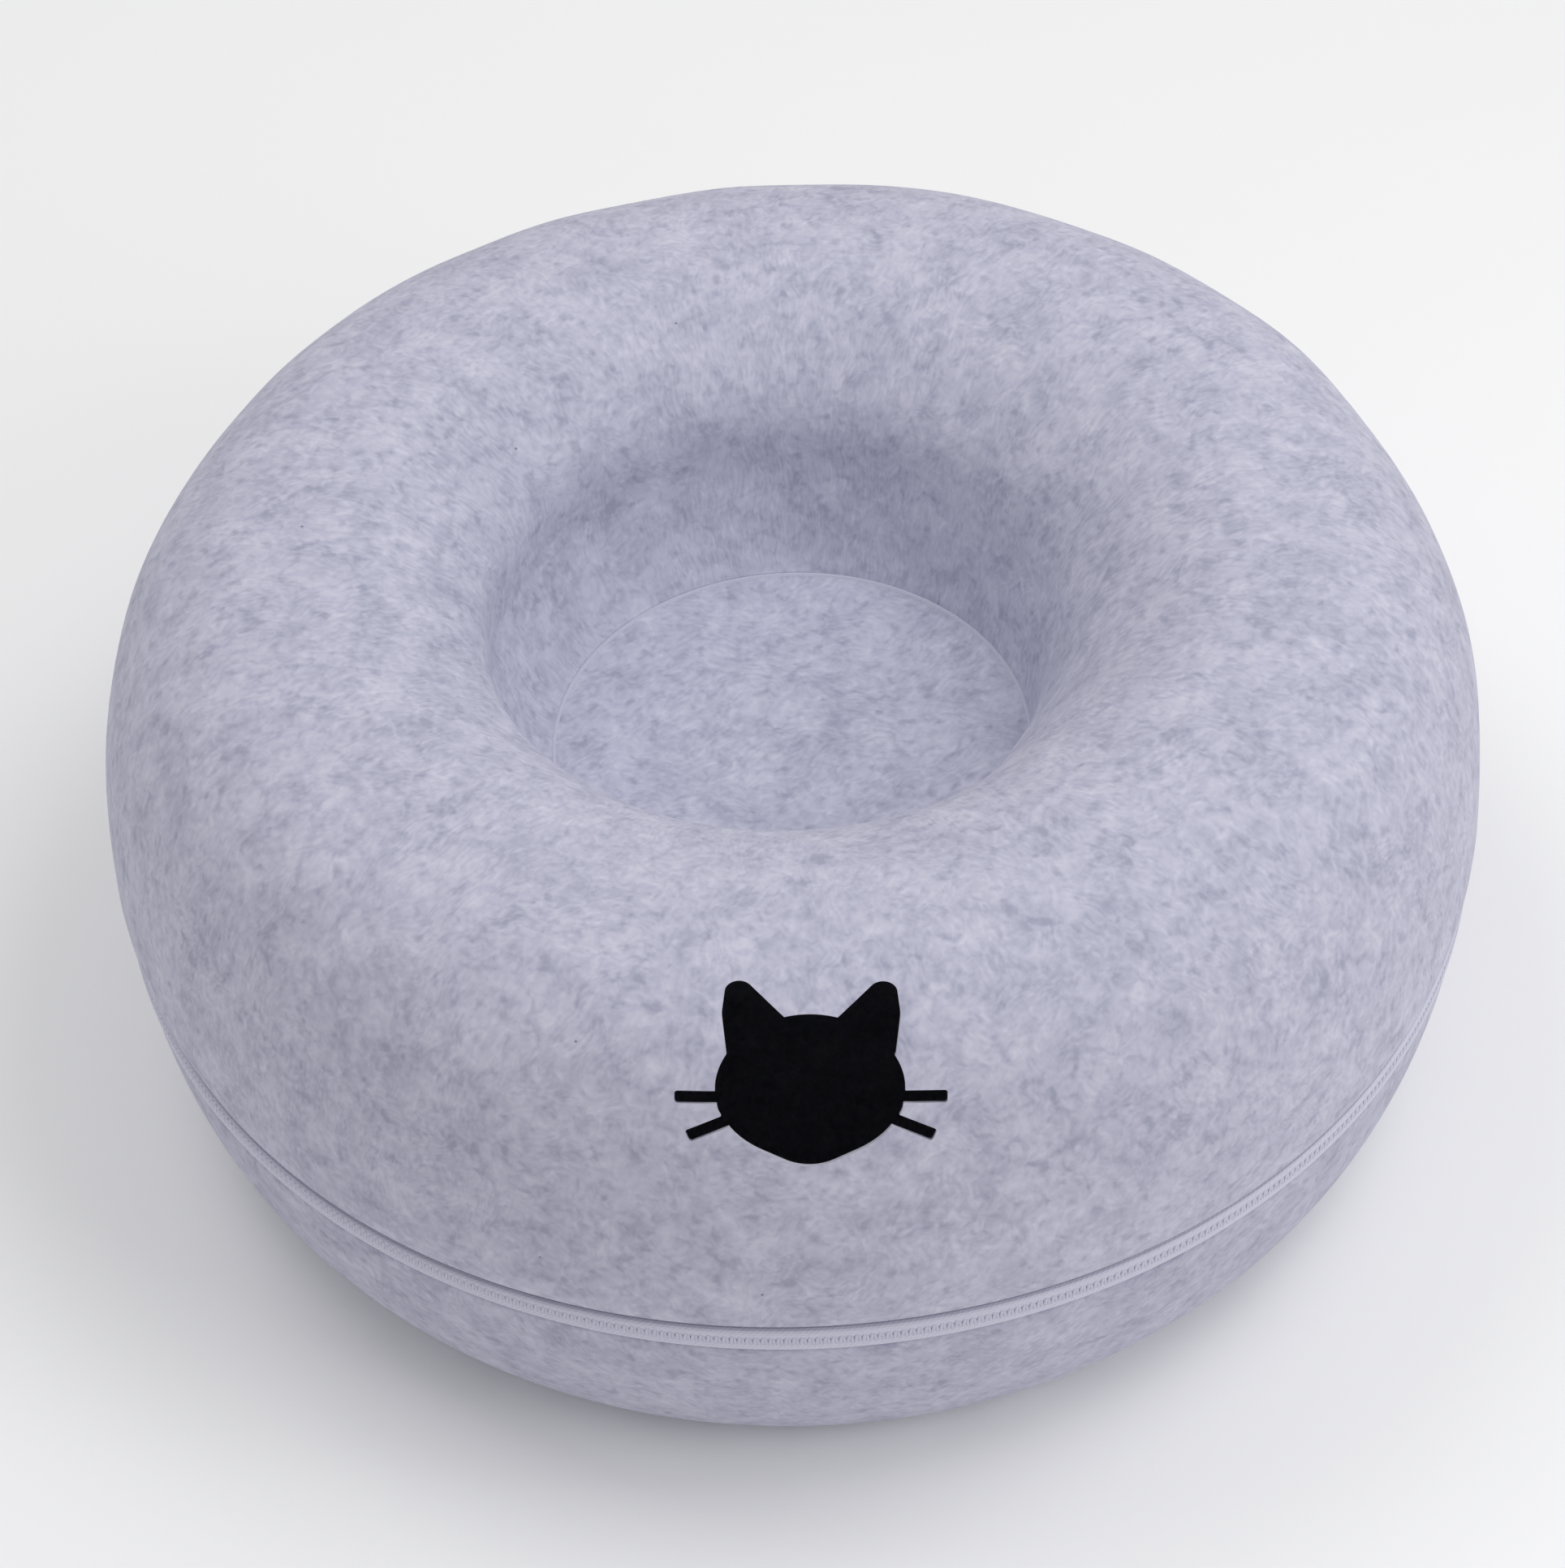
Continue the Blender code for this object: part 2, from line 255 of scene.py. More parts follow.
let_felt_wander(upper_shell)
heights = [vertex.co.z / MM for vertex in upper_shell.data.vertices]
print("highest point of the crest in mm:", round(max(heights), 1))

# %% [markdown]
# ## The nest's wall
# Above its floor the wall leans out in a hollow curve, because the felt is drawn over the round
# edge of the mould there. In the photograph it leans out most at the left and at the back, and
# stands nearly upright at the right, so the lean is given a side of its own. At the near right
# a wide soft dent pushes it in over the floor.

# %% Hollow wall
NEST_FLARE, NEST_FLARE_RISE = 8.0 * MM, 11.0 * MM
NEST_FLARE_FADE = (160.0 * MM, 200.0 * MM)  # between these heights the wall turns back to its oval
SEAM_ROOM = 0.9 * MM  # the floor's rim stands in this room at the foot of the wall
RIM_PROUD = 0.7 * MM  # and as far above the floor, up to where the wall starts to lean
UPRIGHT_SIDE, ONE_SIDED = math.radians(-30.0), 0.85  # 1 would leave that side quite upright
# the dent's side, half width, height, reach up and down, and depth
PUSHED_SIDE, PUSHED_WIDTH = math.radians(-36.0), math.radians(30.0)
PUSHED_HEIGHT, PUSHED_REACH, PUSHED_IN = 158.0 * MM, 22.0 * MM, 6.0 * MM


def nest_flare(height):
    """How far the nest's wall leans out from its oval, averaged all round, and the seam's room."""
    risen = 1.0 - math.exp(min(NEST_FLOOR_HEIGHT + RIM_PROUD - height, 0.0) / NEST_FLARE_RISE)
    low, high = NEST_FLARE_FADE
    share = min(max((height - low) / (high - low), 0.0), 1.0)
    fade = 1.0 - share * share * (3.0 - 2.0 * share)
    return NEST_FLARE * risen * fade, SEAM_ROOM * fade


def pushed_in(angle, height):
    """A wide soft dent at the near right, where the wall was pushed in when it was packed."""
    around = (angle - PUSHED_SIDE) / PUSHED_WIDTH
    up = (height - PUSHED_HEIGHT) / PUSHED_REACH
    return PUSHED_IN * math.exp(-(around**2) - up**2)


def hollow_wall(obj):
    """Moves the nest's wall out and in, and gives back how far it went out at most."""
    furthest = 0.0
    for vertex in obj.data.vertices:
        radius = math.hypot(vertex.co.x, vertex.co.y)
        if radius > CREST_RADIUS:
            continue
        angle = math.atan2(vertex.co.y, vertex.co.x)
        flare, room = nest_flare(vertex.co.z)
        move = room + flare * (1.0 - ONE_SIDED * math.cos(angle - UPRIGHT_SIDE))
        move -= pushed_in(angle, vertex.co.z)
        vertex.co.xy *= (radius + move) / radius
        furthest = max(furthest, move)
    return furthest


print("the wall leans out by up to, in mm:", round(hollow_wall(upper_shell) / MM, 1))

# %% [markdown]
# ## An uneven edge
# The felt was trimmed and sewn over the zip by hand, so its lower edge rises and falls on its way
# round, from about its level at the right to 4 mm lower at the left. The stitches also draw it
# in, most of all on the left, where the line above the zip is darkest in the photograph.

# %% Uneven edge
EDGE_REACH = 8.0 * MM  # the unevenness fades out this far above the edge
TAPES_MEET = 97.0 * MM  # and at this height, on the tape below it
FALL, LEFT_FALL, WAVE_FALL = 1.9, 1.5, 0.8  # mm: on average, more at the left, in four waves
DRAWN_IN = 1.3  # mm that the stitches draw it in, more and more towards the left
DRAWN_ALL_ROUND = 0.25  # as a share of that
TAPE_FALL = 0.6  # mm that the tape falls more than the felt at the left


def edge_fall(angle):
    """How far the edge hangs below its level at that angle from +X, in mm."""
    return FALL - LEFT_FALL * math.cos(angle) - WAVE_FALL * math.cos(4.0 * angle)


def uneven_edge(obj, falls_more):
    """Lets the edge and the tape below it fall unevenly and draws them in, most at the left."""
    moved = 0
    for vertex in obj.data.vertices:
        radius = math.hypot(vertex.co.x, vertex.co.y)
        above = (vertex.co.z - UPPER_EDGE[1]) / EDGE_REACH
        below = (UPPER_EDGE[1] - vertex.co.z) / (UPPER_EDGE[1] - TAPES_MEET)
        share = 1.0 - min(max(above, below, 0.0), 1.0)
        if radius > CREST_RADIUS and share > 0.0:
            angle = math.atan2(vertex.co.y, vertex.co.x)
            leftness = 0.5 - 0.5 * math.cos(angle)
            vertex.co.z -= share * (edge_fall(angle) + falls_more * leftness) * MM
            inwards = share * share * DRAWN_IN * (DRAWN_ALL_ROUND + leftness) * MM
            vertex.co.xy *= 1.0 - inwards / radius
            moved += 1
    return moved


print("points of the edge moved:", uneven_edge(upper_shell, 0.0))

# %% [markdown]
# ## Creases
# Where the felt was bent in packing, a few short creases stay. Each is a soft trough with a
# slight ridge on both sides. The faces around it are divided finely first, because a crease is
# narrower than the faces of the skin.

# %% Pressed creases
CREASES = (  # both ends in mm, half width in mm, depth in mm
    ((98, -82, 213), (112, -73, 216), 1.3, 0.9),
    ((-26, 140, 221), (-16, 145, 221), 1.2, 0.9),
    ((-29, 174, 226), (-22, 177, 226), 1.1, 0.7),
    ((-227, 8, 207), (-212, 16, 218), 1.4, 1.0),
    ((227, -78, 187), (231, -73, 186), 1.3, 0.8),
)
CREASE_REACH = 5.0  # in half widths, as is the next one
RIDGE_AWAY, RIDGE_SHARE = 2.2, 0.35  # the ridge beside the trough, and its height as a share
FINE_ROOM = 3.0 * MM  # the faces are divided this much further out than the crease reaches


def press_crease(work, start, end, half_width, depth):
    """Presses a soft trough from start to end into the skin."""
    start, end = Vector(start) * MM, Vector(end) * MM
    along = end - start
    reach = CREASE_REACH * half_width * MM

    def off_line(point):
        share = min(max((point - start).dot(along) / along.length_squared, 0.0), 1.0)
        return (point - start - share * along).length, share

    near = [f for f in work.faces if off_line(f.calc_center_median())[0] < reach + FINE_ROOM]
    edges = list({edge for face in near for edge in face.edges})
    bmesh.ops.subdivide_edges(work, edges=edges, cuts=3, use_grid_fill=True)
    work.normal_update()
    moved = 0
    for vertex in work.verts:
        distance, share = off_line(vertex.co)
        if distance < reach:
            ratio = distance / (half_width * MM)
            trough = math.exp(-(ratio**2)) - RIDGE_SHARE * math.exp(-((ratio - RIDGE_AWAY) ** 2))
            # deepest half way along, and nearly gone at both ends
            depth_here = depth * MM * math.sin(math.pi * (0.15 + 0.7 * share))
            vertex.co -= vertex.normal * (depth_here * trough)
            moved += 1
    return moved


work = bmesh.new()
work.from_mesh(upper_shell.data)
print("points moved by each crease:", [press_crease(work, *crease) for crease in CREASES])
work.to_mesh(upper_shell.data)
work.free()

# %% [markdown]
# ## Thickness and cuts
# The felt is 4 mm thick, measured inwards from the moulded face. The peephole and the way in
# are punched through, so both show the cut edge. That edge gets a material of its own, because
# cut felt looks denser than its face; its paler colour is partly a painted highlight. The head
# is made of ovals and blunt slots, as a cutting die is.

# %% Thickness
OUTSIDE, INSIDE, CUT = 0, 1, 2  # the places of the three felt finishes on each shell


def thicken(obj):
    """Gives the skin its thickness inwards, and each side and rim its finish."""
    shell = obj.modifiers.new("felt", "SOLIDIFY")
    shell.thickness = FELT
    shell.offset = -1.0
    shell.use_even_offset = True
    shell.use_quality_normals = True
    shell.material_offset = INSIDE
    shell.material_offset_rim = CUT
    settle(obj)


print("the felt's thickness in mm:", round(FELT / MM, 1))

# %% Cutting dies
HEAD_CENTRE = Vector((1.6, -227.0, 207.0)) * MM
HEAD_SLOPE, HEAD_LEAN = math.radians(41.7), math.radians(2.4)
# ovals as across, up and half sizes in mm
FACE = [(-0.3, -5.0, 30.3, 23.8), (-0.3, -10.3, 29.6, 12.0), (-0.3, -18.7, 15.3, 12.0)]
EAR = [(22.9, 25.5, 4.6, 3.3), (24.6, 18.7, 3.8, 5.5), (25.2, 7.0, 1.8, 1.8), (8.4, 14.8, 2.2, 2.2)]
WHISKERS = (((24.0, -7.6), (42.5, -7.6)), ((22.0, -13.2), (38.6, -20.3)))
WHISKER_WIDTH, WHISKER_CORNER = 4.3, 1.0
HEAD_DIE_REACH = 22.0 * MM  # to both sides of the felt
ENTRANCE_RADIUS, ENTRANCE_HEIGHT = 80.0 * MM, 105.0 * MM
FACE_SIDES, EAR_SIDES, SLOT_SIDES, DRUM_SIDES = 96, 40, 16, 128  # sides to each oval


def die(name, ovals, sides, reach):
    """Upright prism whose outline is a string laid tight around several ovals."""
    around = [2.0 * math.pi * side / sides for side in range(sides)]
    points = [
        Vector((across + half_width * math.cos(angle), up + half_height * math.sin(angle))) * MM
        for across, up, half_width, half_height in ovals
        for angle in around
    ]
    outline = [points[i] for i in convex_hull_2d(points)]
    count = len(outline)
    ends = [(*point, height) for height in (-reach, reach) for point in outline]
    sides = [(i, (i + 1) % count, count + (i + 1) % count, count + i) for i in range(count)]
    mesh = bpy.data.meshes.new(name)
    mesh.from_pydata(ends, [], [tuple(range(count))[::-1], tuple(range(count, 2 * count))] + sides)
    cutter = bpy.data.objects.new(name, mesh)
    bpy.context.scene.collection.objects.link(cutter)
    return cutter


def slot_corners(start, end):
    """The four round corners of a straight slot with blunt ends."""
    start, end = Vector(start), Vector(end)
    aside = (end - start).orthogonal().normalized() * (0.5 * WHISKER_WIDTH - WHISKER_CORNER)
    centres = [point + sign * aside for point in (start, end) for sign in (-1.0, 1.0)]
    return [(centre.x, centre.y, WHISKER_CORNER, WHISKER_CORNER) for centre in centres]


def head_dies():
    """The face, two ears and four whiskers, laid on the slope of the dome's front."""
    dies = [die("face", FACE, FACE_SIDES, HEAD_DIE_REACH)]
    for mirror in (1.0, -1.0):
        ear = [(mirror * across, *rest) for across, *rest in EAR]
        dies.append(die("ear", ear, EAR_SIDES, HEAD_DIE_REACH))
        for ends in WHISKERS:
            slot = [(mirror * across, *rest) for across, *rest in slot_corners(*ends)]
            dies.append(die("whisker", slot, SLOT_SIDES, HEAD_DIE_REACH))
    tip_up = Matrix.Rotation(0.5 * math.pi - HEAD_SLOPE, 4, "X")
    for cutter in dies:
        lean = Matrix.Rotation(-HEAD_LEAN, 4, "Z")
        cutter.matrix_world = Matrix.Translation(HEAD_CENTRE) @ tip_up @ lean
    return dies


def entrance_die():
    """A level drum through the back wall."""
    radius = ENTRANCE_RADIUS / MM
    drum = die("way in", [(0.0, 0.0, radius, radius)], DRUM_SIDES, 0.25 * DOME_RADIUS)
    middle = Vector((0.0, DOME_RADIUS, ENTRANCE_HEIGHT))
    drum.matrix_world = Matrix.Translation(middle) @ Matrix.Rotation(0.5 * math.pi, 4, "X")
    return drum


def cut(obj, dies, finish):
    """Punches the dies through obj. The cut faces take the finish in that place."""
    blank = obj.data.materials[finish]
    for cutter in dies:
        cutter.data.materials.clear()
        cutter.data.materials.append(blank)
        punch = obj.modifiers.new("cut", "BOOLEAN")
        punch.operation = "DIFFERENCE"
        punch.solver = "EXACT"
        punch.material_mode = "TRANSFER"
        punch.object = cutter
    settle(obj)


way_in = entrance_die()
head = head_dies()
print("dies:", [cutter.name for cutter in [way_in] + head])

# %% [markdown]
# ## Nodes and colours
# A picture file or a colour picker gives sRGB numbers, and Blender's shaders want linear light,
# so one function turns hex colours to linear ones. Another one adds a node: it takes the kind of
# node, what goes into its sockets, and its settings, and it gives back the node's outputs.


# %% Two helpers
def linear(hex_colour):
    """sRGB hex to linear RGBA."""
    channels = [int(hex_colour[i : i + 2], 16) / 255.0 for i in (0, 2, 4)]
    bright = [c / 12.92 if c <= 0.04045 else ((c + 0.055) / 1.055) ** 2.4 for c in channels]
    return (*bright, 1.0)


def add(material, kind, inputs=None, **settings):
    """Adds a node. inputs maps a socket's name or number to a value or to another socket."""
    node = material.node_tree.nodes.new("ShaderNode" + kind)
    for name, value in settings.items():
        setattr(node, name, value)
    for socket, value in (inputs or {}).items():
        if isinstance(value, bpy.types.NodeSocket):
            material.node_tree.links.new(value, node.inputs[socket])
        else:
            node.inputs[socket].default_value = value
    return node.outputs


def start_material(name):
    """Empty node material with a Principled BSDF, and that shader."""
    material = bpy.data.materials.new(name)
    material.use_nodes = True
    return material, material.node_tree.nodes["Principled BSDF"]


print("a middle grey, 808080, is in linear light:", round(linear("808080")[0], 3))

# %% [markdown]
# ## Needle-punched felt
# The felt is polyester staple fibre. It was carded into a web, punched with barbed needles until
# it held together, and then pressed hot over the mould. Single fibres are about 0.03 mm thick,
# but they lie in tufts 1 or 2 mm wide and 3 to 8 mm long, which catch the light or shade each
# other. To the eye that gives a cloudy pale grey with soft, short, curved marks and no gloss.
#
# Three patterns add up. Tufts are noise that is longer than it is wide. Swirls are noise that
# distorts itself, as matted fibres do. Clouds are wide and say where the web was thin or thick.

# %% Patterns
TUFT_WIDTH, TUFT_LENGTH = 1.9 * MM, 4.4 * MM  # a light and a dark tuft side by side


def tufts(material, place, slant, seed):
    """Soft marks, long along X after a turn by slant. Another seed gives other marks."""
    shifted = add(material, "VectorMath", {0: place, 1: (seed, 2.0 * seed, 0.0)}, operation="ADD")
    turned = add(material, "Mapping", {0: shifted[0], "Rotation": (0.0, 0.0, slant)})
    squeeze = (1.0 / TUFT_LENGTH, 1.0 / TUFT_WIDTH, 1.0 / TUFT_WIDTH)
    laid = add(material, "VectorMath", {0: turned[0], 1: squeeze}, operation="MULTIPLY")
    return add(material, "TexNoise", {0: laid[0], "Scale": 1.0, "Detail": 1.0, "Roughness": 0.4})[0]


def cloud(material, place, size, seed=0.0, detail=1.0, distortion=0.0):
    """Noise whose lumps are about that size."""
    place = add(material, "VectorMath", {0: place, 1: (seed, seed, seed)}, operation="ADD")[0]
    sockets = {0: place, "Scale": 1.0 / size, "Detail": detail, "Distortion": distortion}
    return add(material, "TexNoise", sockets)


def region(material, place, size, seed):
    """A wide mask with soft borders."""
    spread = cloud(material, place, size, seed)[0]
    sockets = {0: spread, 1: 0.42, 2: 0.58}
    return add(material, "MapRange", sockets, interpolation_type="SMOOTHSTEP")[0]


print("tuft width and length in mm:", round(TUFT_WIDTH / MM, 1), round(TUFT_LENGTH / MM, 1))

# %% [markdown]
# The tufts are laid out on the flat round blank that a shell was pressed from. The UV map gives
# each point's turn about the axis and its run down the section, and from these two comes its
# place on the blank. On the upper shell the tufts run down the section in some patches, because
# the mould drew the felt that way. Those are laid out on an upright cylinder.

# %% Where a point lay on the blank
DRAWN_RADIUS = 170.0 * MM  # of that cylinder
upper_blank = (NEST_RADIUS, 1.0)  # the run starts at the nest's hole and goes outwards
lower_blank = (303.0 * MM, -1.0)  # the run starts at the rim and goes inwards
floor_blank = (0.0, 1.0)


def blank_place(material, start, sign):
    """Where a point lay on the flat blank, and where it is on an upright cylinder."""
    measures = add(material, "SeparateXYZ", {0: add(material, "UVMap", uv_map="run")[0]})
    angle = add(material, "Math", {0: measures[0], 1: 2.0 * math.pi}, operation="MULTIPLY")[0]
    cosine = add(material, "Math", {0: angle}, operation="COSINE")[0]
    sine = add(material, "Math", {0: angle}, operation="SINE")[0]
    ring = add(material, "CombineXYZ", {0: cosine, 1: sine})[0]
    far = add(material, "Math", {0: measures[1], 1: sign, 2: start}, operation="MULTIPLY_ADD")[0]
    blank = add(material, "VectorMath", {0: ring, "Scale": far}, operation="SCALE")[0]
    around = add(material, "VectorMath", {0: ring, "Scale": DRAWN_RADIUS}, operation="SCALE")[0]
    across = add(material, "SeparateXYZ", {0: around})
    upright = add(material, "CombineXYZ", {0: measures[1], 1: across[0], 2: across[1]})[0]
    return blank, upright


print("the bowl's blank is, in mm across:", round(2.0 * lower_blank[0] / MM))

# %% [markdown]
# The tone of the felt is the sum of its patterns. The tufts bend, lie one way in one patch and
# another way in the next, and are darker in knots, where the fibres are matted.

# %% Tone
SWIRL_SIZE = 5.0 * MM
CLOUD_SIZE = 17.0 * MM
KNOT_SIZE, KNOT_SHADE = 6.0 * MM, 0.13
BEND_SIZE, BEND = 16.0 * MM, 6.0 * MM  # how often and how far the tufts bend
RISING, LEVEL, DOWN = math.radians(-40.0), math.radians(10.0), 0.0  # ways that the tufts lie
PATCH_SIZE, DRAWN_SIZE = 30.0 * MM, 45.0 * MM  # patches of one way, and of the drawn way
TUFT_PART, SWIRL_PART = 0.45, 0.55  # of the relief
RELIEF_PART, CLOUD_PART = 0.66, 0.34  # of the tone


def felt_tone(material, start, sign, drawn):
    """Tufts, swirls and clouds added up, round 0.5, and the part of it that stands in relief."""
    solid = add(material, "TexCoord")["Object"]
    blank, upright = blank_place(material, start, sign)
    bends = cloud(material, solid, BEND_SIZE, detail=1.0)[1]
    bends = add(material, "VectorMath", {0: bends, 1: (0.5, 0.5, 0.5)}, operation="SUBTRACT")[0]
    bends = add(material, "VectorMath", {0: bends, "Scale": 2.0 * BEND}, operation="SCALE")[0]
    blank = add(material, "VectorMath", {0: blank, 1: bends}, operation="ADD")[0]
    upright = add(material, "VectorMath", {0: upright, 1: bends}, operation="ADD")[0]
    rising = tufts(material, blank, RISING, 0.57)
    level = tufts(material, blank, LEVEL, 0.83)
    marks = {0: region(material, solid, PATCH_SIZE, 1.3), 2: rising, 3: level}
    marks = add(material, "Mix", marks, data_type="FLOAT")[0]
    if drawn:
        down = tufts(material, upright, DOWN, 0.31)
        share = region(material, solid, DRAWN_SIZE, 2.7)
        marks = add(material, "Mix", {0: share, 2: marks, 3: down}, data_type="FLOAT")[0]
    swirls = cloud(material, solid, SWIRL_SIZE, 3.1, detail=3.0, distortion=0.8)[0]
    knots = cloud(material, solid, KNOT_SIZE, 6.3, detail=2.0, distortion=0.3)[0]
    knots = add(material, "MapRange", {0: knots, 1: 0.54, 2: 0.74, 3: 0.0, 4: -KNOT_SHADE})[0]
    wide = cloud(material, solid, CLOUD_SIZE, 4.7, detail=2.0)[0]
    relief = add(material, "Math", {0: marks, 1: TUFT_PART}, operation="MULTIPLY")[0]
    sockets = {0: swirls, 1: SWIRL_PART, 2: relief}
    relief = add(material, "Math", sockets, operation="MULTIPLY_ADD")[0]
    tone = add(material, "Math", {0: relief, 1: RELIEF_PART}, operation="MULTIPLY")[0]
    tone = add(material, "Math", {0: wide, 1: CLOUD_PART, 2: tone}, operation="MULTIPLY_ADD")[0]
    tone = add(material, "Math", {0: tone, 1: knots}, operation="ADD")[0]
    return tone, relief, solid


print("the tone is made of relief and clouds, as shares:", RELIEF_PART, CLOUD_PART)

# %% [markdown]
# The tone then picks a colour between three greys with a little blue. Two bumps go with it: wide
# lumps, as pressed felt has, and the fine relief of the tufts. Felt has no gloss, so its
# roughness is near 1, and a faint sheen stands for the loose fibre ends on its face.

# %% Felt
SPECK, SPECK_SPACING, SPECK_SHARE = "7d7d8c", 38.0 * MM, 0.010  # 0.4 mm round, one in 38 mm
LUMP_HEIGHT, FIBRE_HEIGHT = 1.6 * MM, 0.7 * MM  # what the two bumps stand for


def needle_felt(name, dark, middle, light, start, sign, drawn, relief):
    """Felt between three colours. start and sign turn the run down a section into a radius."""
    material, shader = start_material(name)
    tone, height, solid = felt_tone(material, start, sign, drawn)
    spread = add(material, "MapRange", {0: tone, 1: 0.32, 2: 0.68})[0]
    colour = add(material, "ValToRGB", {0: spread})[0]
    ramp = material.node_tree.nodes[-1].color_ramp
    ramp.elements[0].color = linear(dark)
    ramp.elements[1].color = linear(light)
    ramp.elements.new(0.5).color = linear(middle)
    # a dark fibre was carded in here and there
    specks = add(material, "TexVoronoi", {0: solid, "Scale": 1.0 / SPECK_SPACING})[0]
    speck = add(material, "MapRange", {0: specks, 1: SPECK_SHARE, 2: 1.6 * SPECK_SHARE})[0]
    colour = add(material, "Mix", {0: speck, 6: linear(SPECK), 7: colour}, data_type="RGBA")[2]
    material.node_tree.links.new(colour, shader.inputs["Base Color"])
    lumps = cloud(material, solid, CLOUD_SIZE, 5.9, detail=1.0)[0]
    soft = add(material, "Bump", {"Strength": 0.45, "Distance": LUMP_HEIGHT, "Height": lumps})[0]
    sockets = {"Strength": relief, "Distance": FIBRE_HEIGHT, "Height": height, "Normal": soft}
    fine = add(material, "Bump", sockets)[0]
    material.node_tree.links.new(fine, shader.inputs["Normal"])
    shader.inputs["Roughness"].default_value = 0.95
    shader.inputs["Specular IOR Level"].default_value = 0.2
    shader.inputs["Sheen Weight"].default_value = 0.15
    shader.inputs["Sheen Roughness"].default_value = 0.6
    return material


# the bowl is the same felt as the dome; its greys are a little darker, as painted shade on its shaded
# sides
PALE, BOWL_PAINTED_SHADE = ("a0a0b5", "b9b9cc", "cdcddc"), ("9b9bb0", "b4b4c7", "c8c8d8")
# painted shade: the inside is the same felt, given darker greys for the dark of the cave
INSIDE_GREYS_PAINTED_SHADE = ("5c5c6c", "6e6e7e", "82828f")  # darker, so that the cave is as black as in the photo
upper_face = needle_felt("needle felt, dome", *PALE, *upper_blank, True, 0.25)
lower_face_painted_shade = needle_felt("needle felt, bowl, painted shade", *BOWL_PAINTED_SHADE, *lower_blank, False, 0.25)
floor_face = needle_felt("needle felt, floor", *PALE, *floor_blank, False, 0.25)
inner_face_painted_shade = needle_felt("needle felt, inside, painted shade", *INSIDE_GREYS_PAINTED_SHADE, *upper_blank, False, 0.5)
print("felt faces:", [material.name for material in (upper_face, lower_face_painted_shade, floor_face, inner_face_painted_shade)])

# %% [markdown]
# A blade or a die leaves an edge of packed fibre ends. It is paler than the face, partly as a
# painted highlight, and duller, and it has no tufts.

# %% Cut felt
FIBRE_ENDS = 0.8 * MM  # real ends are a tenth of that, too fine to show


def cut_felt(name, colour, shade):
    """The edge left by a blade or die: packed fibre ends, dense and dull."""
    material, shader = start_material(name)
    place = add(material, "TexCoord")["Object"]
    ends = cloud(material, place, FIBRE_ENDS, detail=2.0)[0]
    tint = add(material, "Mix", {0: ends, 6: linear(shade), 7: linear(colour)}, data_type="RGBA")[2]
    material.node_tree.links.new(tint, shader.inputs["Base Color"])
    rough = add(material, "Bump", {"Strength": 0.6, "Distance": 0.4 * MM, "Height": ends})[0]
    material.node_tree.links.new(rough, shader.inputs["Normal"])
    shader.inputs["Roughness"].default_value = 1.0
    shader.inputs["Specular IOR Level"].default_value = 0.1
    return material


# painted highlight, in part: the cut edge's colour is paler than the felt's face
cut_edge_with_painted_highlight = cut_felt("cut felt edge, painted highlight", "dadae6", "bcbccc")
# painted highlight, in part: the nest floor's bead is paler than the floor's felt
rim_with_painted_highlight = cut_felt("felt rim, painted highlight", "cacad9", "babacd")
print("cut felt:", cut_edge_with_painted_highlight.name, "and", rim_with_painted_highlight.name)

# %% [markdown]
# ## The two shells
# With the finishes ready, both shells get their three places for materials, their thickness and
# their cuts. The corners of their rims are rounded before the cuts, which stay crisp.


# %% Shells
OUTER_ROUNDING, INNER_ROUNDING = 2.2 * MM, 0.9 * MM
ROUNDING_SEGMENTS = 4


def smooth(obj, angle):
    """Smooth shading, but with crisp edges where faces meet at more than that angle."""
    obj.data.shade_smooth()
    obj.data.set_sharp_from_angle(angle=angle)


def round_rim(obj, side, width):
    """Rounds the corner of a cut rim on one side, as sewing over it and handling do."""
    work = bmesh.new()
    work.from_mesh(obj.data)
    corners = [e for e in work.edges if sorted(f.material_index for f in e.link_faces) == [side, CUT]]
    arc = {"segments": ROUNDING_SEGMENTS, "profile": 0.5}
    bmesh.ops.bevel(work, geom=corners, offset=width, affect="EDGES", **arc)
    work.to_mesh(obj.data)
    work.free()
    return len(corners)


for shell, face, dies in (
    (upper_shell, upper_face, [way_in] + head),
    (lower_shell, lower_face_painted_shade, [way_in]),
):
    for finish in (face, inner_face_painted_shade, cut_edge_with_painted_highlight):
        shell.data.materials.append(finish)
    thicken(shell)
    round_rim(shell, OUTSIDE, OUTER_ROUNDING)
    round_rim(shell, INSIDE, INNER_ROUNDING)
    cut(shell, dies, CUT)
    smooth(shell, math.radians(35.0))
    print(shell.name, "faces:", len(shell.data.polygons), "finishes:", len(shell.data.materials))

# %% [markdown]
# ## The nest's floor
# A round felt disc is sewn into the foot of the nest. Its cut edge stands a little proud and is
# rubbed round, so it catches the light as a thin pale arc. The bead's felt is also a little
# paler, a painted highlight along that arc.

